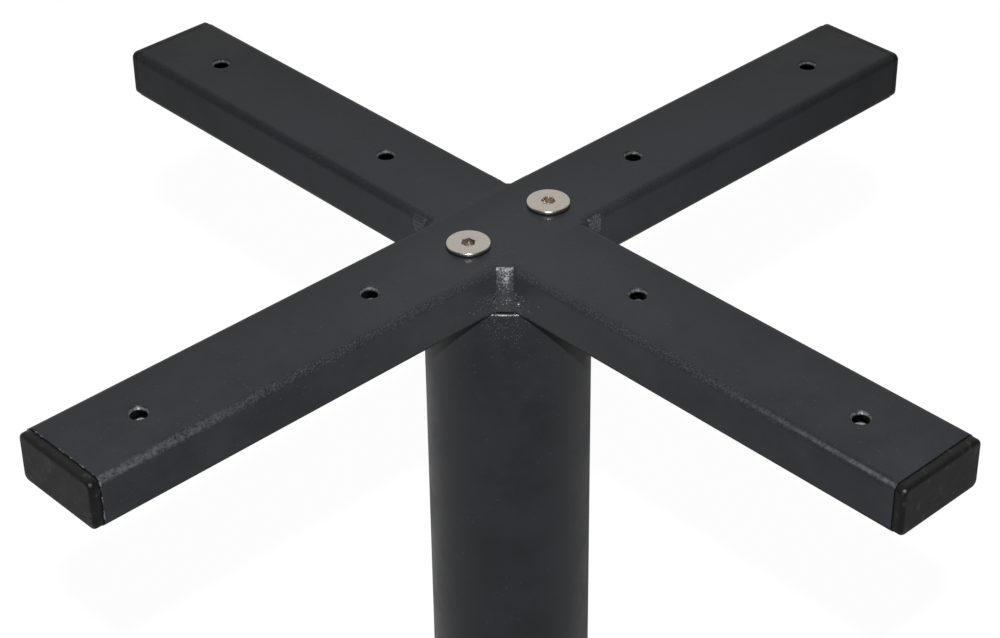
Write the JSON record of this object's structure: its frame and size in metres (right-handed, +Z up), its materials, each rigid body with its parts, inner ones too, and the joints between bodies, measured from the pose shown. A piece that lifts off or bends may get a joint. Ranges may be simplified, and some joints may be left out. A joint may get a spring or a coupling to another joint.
{
  "type": "disc table base",
  "caption": "Pedestal table base: a flat round steel disc, a round tube column and a bolted-on welded cross of rectangular tube with plastic end caps, drilled to carry a table top.",
  "frame": {"origin": "on the floor, under the column's axis", "axes": "+Z up along the column; X along the through tube of the cross, Y along its two stub arms"},
  "size_m": [0.5399, 0.54, 0.7222],
  "materials": {
    "black_coat": "satin black powder coat with a fine grain",
    "black_plastic": "moulded, matt",
    "stainless_steel": "plain stainless, lightly tumbled",
    "zinc_steel": "zinc plated"
  },
  "bodies": {
    "root": {"cross_tube": "black_coat", "front_arm": "black_coat", "back_arm": "black_coat", "front_arm_weld": "black_coat", "back_arm_weld": "black_coat", "left_end_cap": "black_plastic", "right_end_cap": "black_plastic", "front_end_cap": "black_plastic", "back_end_cap": "black_plastic", "cross_screws": "stainless_steel", "column_tube": "black_coat", "column_top_plate": "black_coat", "column_foot_plate": "black_coat", "base_disc": "black_coat", "base_screws": "zinc_steel", "floor_glide_1": "black_plastic", "floor_glide_2": "black_plastic", "floor_glide_3": "black_plastic", "floor_glide_4": "black_plastic", "floor_glide_5": "black_plastic", "floor_glide_6": "black_plastic"}
  },
  "joints": []
}
